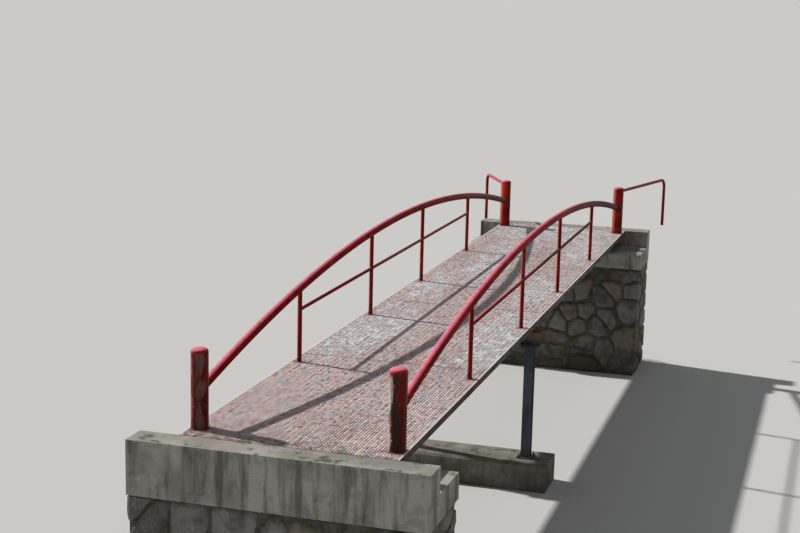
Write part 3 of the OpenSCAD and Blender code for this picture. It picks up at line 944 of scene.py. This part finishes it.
# Thickness of what the bolts stand on, and where they stand from the middle or edge of a member
END_PLATE = 0.012
GIRDER_FLANGE = 0.008
ANCHOR_OFFSET = 0.068
FLANGE_BOLT_X = 0.05
FLANGE_BOLT_Y = 0.03
BEARING_BOLT_GAP = 0.016


def prism(sides, radius, z0, z1, turn, chamfer):
    """Points and faces of an upright prism with a chamfered top edge."""
    angles = [turn + angle for angle in circle(sides)]
    rings = [(radius, z0), (radius, z1 - chamfer), (radius - chamfer, z1)]
    points = [(r * math.cos(a), r * math.sin(a), z) for r, z in rings for a in angles]
    faces = [tuple(range(sides - 1, -1, -1)), tuple(range(2 * sides, 3 * sides))]
    for a in (0, sides):
        for i in range(sides):
            n = (i + 1) % sides
            faces.append((a + i, a + n, a + sides + n, a + sides + i))
    return points, faces


def bolt_mesh(turn):
    """A washer, a hexagon nut and the end of its stud, standing on z = 0."""
    nut_top = WASHER_HEIGHT + NUT_HEIGHT
    points, faces = [], []
    for part in (
        prism(20, WASHER_RADIUS, 0.0, WASHER_HEIGHT, turn, WASHER_CHAMFER),
        prism(6, NUT_ACROSS / math.sqrt(3), WASHER_HEIGHT, nut_top, turn, NUT_CHAMFER),
        prism(16, STUD_RADIUS, nut_top, nut_top + STUD_ABOVE, turn, STUD_CHAMFER),
    ):
        append_part(points, faces, *part)
    return points, faces


def add_bolts(name, places, up, material):
    """Bolts at the given places, pointing up where up is 1 and down where it is -1."""
    rng = random.Random(SEED)
    points, faces = [], []
    for x, y, z in places:
        bolt, bolt_faces = bolt_mesh(rng.uniform(0, math.pi / 3))
        placed = [(x + p[0], y + p[1] * up, z + p[2] * up) for p in bolt]
        append_part(points, faces, placed, bolt_faces)
    add_mesh(name, points, faces, material, smooth=False)


def around(x, y, half_x, half_y):
    """The four corners of a rectangle."""
    return [(x + sx * half_x, y + sy * half_y) for sx in (-1, 1) for sy in (-1, 1)]


def add_pier_bolts(material):
    footing_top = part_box("pier_footing")[1].z
    beam_low, beam_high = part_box("pier_cap_beam")
    anchors, heads, seats = [], [], []
    for side in SIDES:
        column = middle(f"pier_column_{side}")
        corners = around(column.x, column.y, ANCHOR_OFFSET, ANCHOR_OFFSET)
        anchors += [(x, y, footing_top + END_PLATE) for x, y in corners]
        heads += [(x, y, beam_low.z - END_PLATE) for x, y in corners]
        girder = middle(f"girder_{side}")
        spots = around(column.x, girder.y, FLANGE_BOLT_X, FLANGE_BOLT_Y)
        seats += [(x, y, beam_high.z + GIRDER_FLANGE) for x, y in spots]
    add_bolts("pier_anchor_bolts", anchors, 1, material)
    add_bolts("pier_head_bolts", heads, -1, material)
    add_bolts("girder_seat_bolts", seats, 1, material)


def add_bearing_bolts(material):
    """Two bolts at each bearing plate, one on each side of its girder."""
    girder_low, girder_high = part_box("girder_left")
    offset = (girder_high.y - girder_low.y) / 2 + BEARING_BOLT_GAP
    for end in ENDS:
        low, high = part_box(f"{end}_bearing_plates")
        places = []
        for side in SIDES:
            y = middle(f"girder_{side}").y
            places += [((low.x + high.x) / 2, y + sign * offset, high.z) for sign in (-1, 1)]
        add_bolts(f"{end}_bearing_bolts", places, 1, material)


# Rubble masonry of the abutments

STONE_SPACING = Vector((0.23, 0.26, 0.175))
STONE_JITTER = 0.4
STONE_LOSS = 0.16
STONE_GRID = 7
JOINT = 0.014
ROUNDING = 17.0
FACE_ROUGHNESS = 0.009
DENTS = 9.0
MORTAR_DEPTH = 0.02

# How far inside the block a stone's centre lies at least, and how far behind an open face at most
SEED_MARGIN = 0.02
STONE_DEPTH = 0.17

# How many of the nearest stones bound a stone, and the least sizes that keep its shape sound
NEIGHBOURS = 22
LEAST_REACH = 0.012
LEAST_RADIUS = 0.02

# Planes of a block that stones show in: its two sides, its back and its battered face
OPEN_PLANES = [0, 1, 4, 5]


def cube_sphere(cells):
    """Unit directions and quads of a cube's faces blown up to a sphere."""
    directions, quads = [], []
    ticks = [math.tan(math.pi / 4 * (2 * i / cells - 1)) for i in range(cells + 1)]
    for axis in range(3):
        for sign in (-1, 1):
            start = len(directions)
            for a in ticks:
                for b in ticks:
                    v = [0.0, 0.0, 0.0]
                    v[axis], v[(axis + 1) % 3], v[(axis + 2) % 3] = sign, a, b
                    directions.append(v)
            for i in range(cells):
                for j in range(cells):
                    a = start + i * (cells + 1) + j
                    quad = (a, a + cells + 1, a + cells + 2, a + 1)
                    quads.append(quad if sign > 0 else quad[::-1])
    keys = {}
    renumber = [keys.setdefault(tuple(np.round(d, 6)), len(keys)) for d in directions]
    directions = np.array([list(key) for key in keys])
    quads = [tuple(renumber[i] for i in quad) for quad in quads]
    return directions / np.linalg.norm(directions, axis=1)[:, None], quads


def block_planes(node, sign):
    """Outward normals and offsets of an abutment's stonework, its battered face last."""
    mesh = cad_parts[node].data
    low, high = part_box(node)
    planes = [((0, -1, 0), -low.y), ((0, 1, 0), high.y), ((0, 0, -1), -low.z), ((0, 0, 1), high.z)]
    planes.append(((-1, 0, 0), -low.x) if sign < 0 else ((1, 0, 0), high.x))
    slanted = max((p for p in mesh.polygons if p.normal.x * -sign > 0.5), key=lambda p: p.area)
    normal = slanted.normal.normalized()
    planes.append((tuple(normal), normal.dot(mesh.vertices[slanted.vertices[0]].co)))
    return np.array([p[0] for p in planes], float), np.array([p[1] for p in planes], float)


def stone_seeds(low, high, rng):
    """Centres of stones through a block: a jittered lattice whose courses are staggered."""
    size = high - low
    counts = [max(1, round(size[i] / STONE_SPACING[i])) for i in range(3)]
    step = [size[i] / counts[i] for i in range(3)]
    seeds = []
    for k in range(counts[2]):
        for j in range(-1, counts[1] + 1):
            for i in range(counts[0]):
                place = (
                    low.x + (i + 0.5) * step[0],
                    low.y + (j + 0.5 + 0.5 * (k % 2)) * step[1],
                    low.z + (k + 0.5) * step[2],
                )
                seed = [place[a] + rng.uniform(-1, 1) * STONE_JITTER * step[a] for a in range(3)]
                if rng.random() > STONE_LOSS:
                    seeds.append(seed)
    return np.array(seeds)


def stone_mesh(seed, neighbours, normals, offsets, directions, shift):
    """One stone: the space nearest to its seed within the block, shrunk, rounded and dented."""
    gaps = neighbours - seed
    lengths = np.linalg.norm(gaps, axis=1)
    all_normals = np.concatenate([normals, gaps / lengths[:, None]])
    reach = np.concatenate([offsets - normals @ seed, lengths / 2 - JOINT / 2])
    reach = np.maximum(reach, LEAST_REACH)
    ratio = np.maximum(directions @ all_normals.T, 0.0) / reach
    radius = (ratio ** ROUNDING).sum(axis=1) ** (-1 / ROUNDING)
    points = seed + directions * radius[:, None]
    for point in points:
        dent = 0.5 + 0.5 * noise.noise(Vector(point) * DENTS + Vector((shift, 0, 0)))
        outward = point - seed
        point -= outward * (FACE_ROUGHNESS * dent / max(np.linalg.norm(outward), LEAST_RADIUS))
    return points


def add_stonework(end, stone, mortar):
    """The stones of one abutment, in its open faces, and the mortar behind them."""
    node = f"{end}_abutment_stonework"
    low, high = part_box(node)
    normals, offsets = block_planes(node, ENDS[end])
    rng = random.Random(SEED + ENDS[end])
    seeds = stone_seeds(low, high, rng)
    seeds = seeds[(seeds @ normals.T < offsets - SEED_MARGIN).all(axis=1)]
    directions, quads = cube_sphere(STONE_GRID)
    depth = (offsets[OPEN_PLANES] - seeds @ normals[OPEN_PLANES].T).min(axis=1)
    points, faces, tones = [], [], []
    for index in np.flatnonzero(depth < STONE_DEPTH):
        others = np.delete(seeds, index, axis=0)
        order = np.argsort(((others - seeds[index]) ** 2).sum(axis=1))
        near = others[order[:NEIGHBOURS]]
        shape = stone_mesh(seeds[index], near, normals, offsets, directions, float(index))
        append_part(points, faces, shape, quads)
        tones.extend([rng.random()] * len(directions))
    piece = add_mesh(f"{end}_rubble_stones", points, faces, stone, tones=tones)
    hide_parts(node)
    add_core(f"{end}_mortar_core", node, mortar)


def add_core(name, node, mortar):
    """The block of mortar behind the stones, drawn in from the open faces."""
    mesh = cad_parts[node].data
    centre = middle(node)
    points = []
    for vertex in mesh.vertices:
        inward = centre - vertex.co
        points.append((
            vertex.co.x + math.copysign(MORTAR_DEPTH, inward.x),
            vertex.co.y + math.copysign(MORTAR_DEPTH, inward.y),
            vertex.co.z,
        ))
    faces = [tuple(p.vertices) for p in mesh.polygons]
    add_mesh(name, points, faces, mortar, smooth=False)


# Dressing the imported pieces


def dress(nodes, material):
    """Gives CAD nodes their material, without touching their meshes."""
    for node in nodes:
        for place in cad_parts[node].material_slots:
            place.link = "OBJECT"
            place.material = material


def dress_rails():
    """Paints the rails and balusters, and returns the paints that their welds take."""
    rail = red_paint("rail_paint", chalk_and_highlight=1.0, chips=0.35, rust=0.35, dull=TOP_RAIL_DULL).material
    baluster = red_paint(
        "baluster_paint", chalk_and_highlight=0.75, chips=0.4, rust=0.5, fade_and_highlight=FADE_AND_HIGHLIGHT_STANDING, shift=40
    ).material
    mid_rail = red_paint(
        "mid_rail_paint", chalk_and_highlight=0.7, chips=0.4, rust=0.4, fresh=RED_DULL,
        fade_and_highlight=FADE_AND_HIGHLIGHT_NARROW, dull=MID_RAIL_DULL, shift=60,
    ).material
    wing = red_paint("wing_paint", chalk_and_highlight=0.5, chips=0.6, rust=0.6, shift=80).material
    dress(sided("top_rail"), rail)
    dress(sided("mid_rail"), mid_rail)
    dress(sided("wing_rail"), wing)
    dress(BALUSTERS, baluster)
    return {"rail": rail, "wing": wing}


def dress_posts():
    """Paints the posts and caps, and returns the paints that their welds take."""
    cap = red_paint("cap_paint", chalk_and_highlight=1.0, chips=0.3, rust=0.2, shift=25).material
    paints = {"cap": cap}
    for number, node in enumerate(POSTS):
        # The near posts take the darker RED_FRESH as painted shade, the far posts the brighter RED_POST
        s = red_paint(
            f"{node}_paint", chalk_and_highlight=0.55, chips=0.35, rust=0.5,
            fresh=RED_FRESH if node.startswith("near") else RED_POST,
            fade_and_highlight=FADE_AND_HIGHLIGHT_STANDING, shift=100 + 13 * number,
        )
        if node in PEELS:
            peel_off(s, PEELS[node])
        paints[node] = s.material
        dress([node], s.material)
        dress([node.replace("post", "cap")], cap)
    return paints


def dress_structure(steel):
    dress(DECK_PLATES, deck_plate_material())
    dress(sided("girder") + sided("edge_angle") + ["cross_beams", "outriggers"], girder_material())
    dress(sided("pier_column"), pier_paint_material())
    dress(["pier_cap_beam"], cap_beam_material())
    dress([f"{end}_abutment_ledge" for end in ENDS] + ["pier_footing"], concrete_material())
    dress([f"{end}_bearing_plates" for end in ENDS], steel)


# Camera, light and floor

CAMERA_PLACE = Vector((-15.48, -3.904, 5.414))
CAMERA_YAW = math.radians(16.6225)
CAMERA_PITCH = math.radians(10.986)
CAMERA_ROLL = math.radians(1.3447)
CAMERA_LENS = 68.45
SENSOR = 36.0
SUN_PATH = Vector((-0.22, -1.13, -1.0))
SUN_SOFTNESS = math.radians(1.4)
SUN_POWER = 3.6
SUN_COLOUR = (1.0, 0.975, 0.94)
SKY_LIGHT = 0.23
SKY_COLOUR = (0.95, 0.975, 1.0)
BACKDROP_LIGHT = 0.97
FLOOR_COLOUR = (0.62, 0.62, 0.61)
FLOOR_SIZE = 900.0


def add_camera():
    data = bpy.data.cameras.new("camera")
    data.lens = CAMERA_LENS
    data.sensor_width = SENSOR
    data.clip_end = 2 * FLOOR_SIZE
    ahead = Vector((
        math.cos(CAMERA_PITCH) * math.cos(CAMERA_YAW),
        math.cos(CAMERA_PITCH) * math.sin(CAMERA_YAW),
        -math.sin(CAMERA_PITCH),
    ))
    level = Vector((math.sin(CAMERA_YAW), -math.cos(CAMERA_YAW), 0))
    above = level.cross(ahead)
    right = math.cos(CAMERA_ROLL) * level + math.sin(CAMERA_ROLL) * above
    top = math.cos(CAMERA_ROLL) * above - math.sin(CAMERA_ROLL) * level
    turn = Matrix((right, top, -ahead)).transposed().to_4x4()
    camera = new_object("camera", data)
    camera.matrix_world = Matrix.Translation(CAMERA_PLACE) @ turn
    bpy.context.scene.camera = camera


def add_sun():
    data = bpy.data.lights.new("key", "SUN")
    data.energy = SUN_POWER
    data.angle = SUN_SOFTNESS
    data.color = SUN_COLOUR
    new_object("key", data).rotation_euler = SUN_PATH.to_track_quat("-Z", "Y").to_euler()


def add_world():
    """Dim even light from all round, and the backdrop that the camera and gloss see."""
    world = bpy.data.worlds.new("studio")
    world.use_nodes = True
    bpy.context.scene.world = world
    tree = world.node_tree
    light = tree.nodes["Background"]
    light.inputs["Color"].default_value = (*SKY_COLOUR, 1.0)
    light.inputs["Strength"].default_value = SKY_LIGHT
    backdrop = tree.nodes.new("ShaderNodeBackground")
    backdrop.inputs["Color"].default_value = (*FLOOR_COLOUR, 1.0)
    backdrop.inputs["Strength"].default_value = BACKDROP_LIGHT
    rays = tree.nodes.new("ShaderNodeLightPath")
    seen = rays.outputs["Is Camera Ray"]
    for kind in ("Is Glossy Ray", "Is Transmission Ray"):
        either = tree.nodes.new("ShaderNodeMath")
        either.operation = "MAXIMUM"
        tree.links.new(seen, either.inputs[0])
        tree.links.new(rays.outputs[kind], either.inputs[1])
        seen = either.outputs[0]
    chosen = tree.nodes.new("ShaderNodeMixShader")
    tree.links.new(seen, chosen.inputs[0])
    tree.links.new(light.outputs[0], chosen.inputs[1])
    tree.links.new(backdrop.outputs[0], chosen.inputs[2])
    tree.links.new(chosen.outputs[0], tree.nodes["World Output"].inputs["Surface"])


def add_floor():
    half = FLOOR_SIZE / 2
    corners = [(-half, -half, 0), (half, -half, 0), (half, half, 0), (-half, half, 0)]
    mesh = bpy.data.meshes.new("floor")
    mesh.from_pydata(corners, [], [(0, 1, 2, 3)])
    s = Shade("floor", 1.0, 0.0)
    s.colour(FLOOR_COLOUR)
    mesh.materials.append(s.material)
    new_object("floor", mesh)


def main():
    bpy.context.scene.view_settings.view_transform = "Standard"
    add_camera()
    add_sun()
    add_world()
    add_floor()
    paints = {**dress_rails(), **dress_posts()}
    steel = rusted_steel_material()
    dress_structure(steel)
    add_lenses(deck_lens_material())
    add_welds(paints)
    add_pier_bolts(steel)
    add_bearing_bolts(steel)
    stone, mortar = stone_material(), mortar_material()
    for end in ENDS:
        add_stonework(end, stone, mortar)


main()
